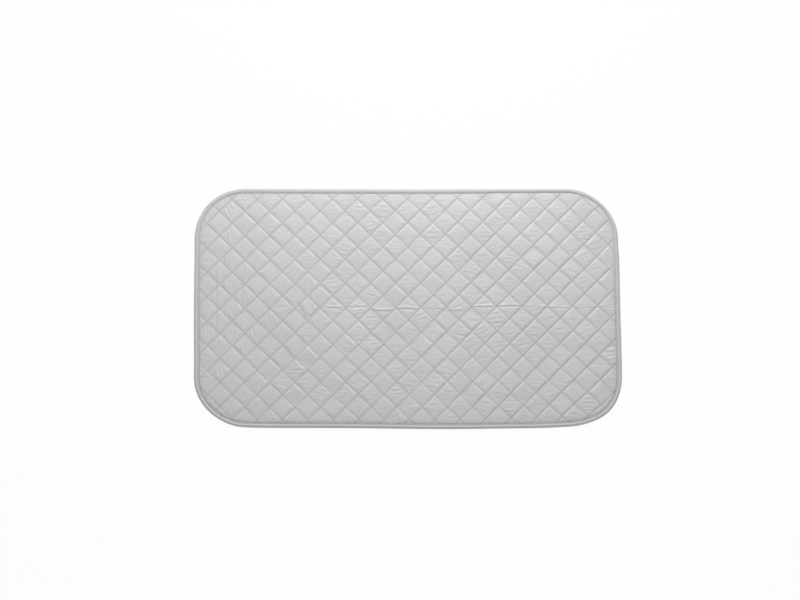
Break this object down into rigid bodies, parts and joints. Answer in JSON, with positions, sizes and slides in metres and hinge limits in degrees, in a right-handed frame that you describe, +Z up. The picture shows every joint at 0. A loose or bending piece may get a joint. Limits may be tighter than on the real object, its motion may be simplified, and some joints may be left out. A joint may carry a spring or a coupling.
{
  "type": "ironing pad",
  "caption": "Flat rectangular ironing pad with rounded corners: a silver-coated cover, wadding and a backing, diamond-quilted and bound round the edge, folding in half at a middle crease.",
  "frame": {"origin": "middle of the pad, on the surface that it lies on", "axes": "+X along the pad's length, +Y towards its rear edge (the top of the picture), +Z up out of the silver side"},
  "size_m": [0.85, 0.48, 0.0058],
  "materials": {
    "silver_cloth": "aluminium-coated woven cloth, soft metallic sheen",
    "wadding_fibre": "matt white fibre",
    "cotton_backing": "matt plain-weave cotton",
    "binding_tape": "satin woven tape",
    "thread": "satin sewing thread"
  },
  "bodies": {
    "rear_panel": {"backing_rear": "cotton_backing", "wadding_rear": "wadding_fibre", "top_cover_rear": "silver_cloth", "quilting_thread_falling_rear": "thread", "quilting_thread_rising_rear": "thread", "edge_binding_rear": "binding_tape", "binding_thread_rear": "thread"},
    "front_panel": {"backing_front": "cotton_backing", "wadding_front": "wadding_fibre", "top_cover_front": "silver_cloth", "quilting_thread_falling_front": "thread", "quilting_thread_rising_front": "thread", "edge_binding_front": "binding_tape", "binding_thread_front": "thread"}
  },
  "joints": [
    {"name": "fold", "type": "hinge", "parent": "front_panel", "child": "rear_panel", "pos_m": [0, 0, 0.0061], "axis": [1, 0, 0], "range_deg": [0, 180]}
  ]
}
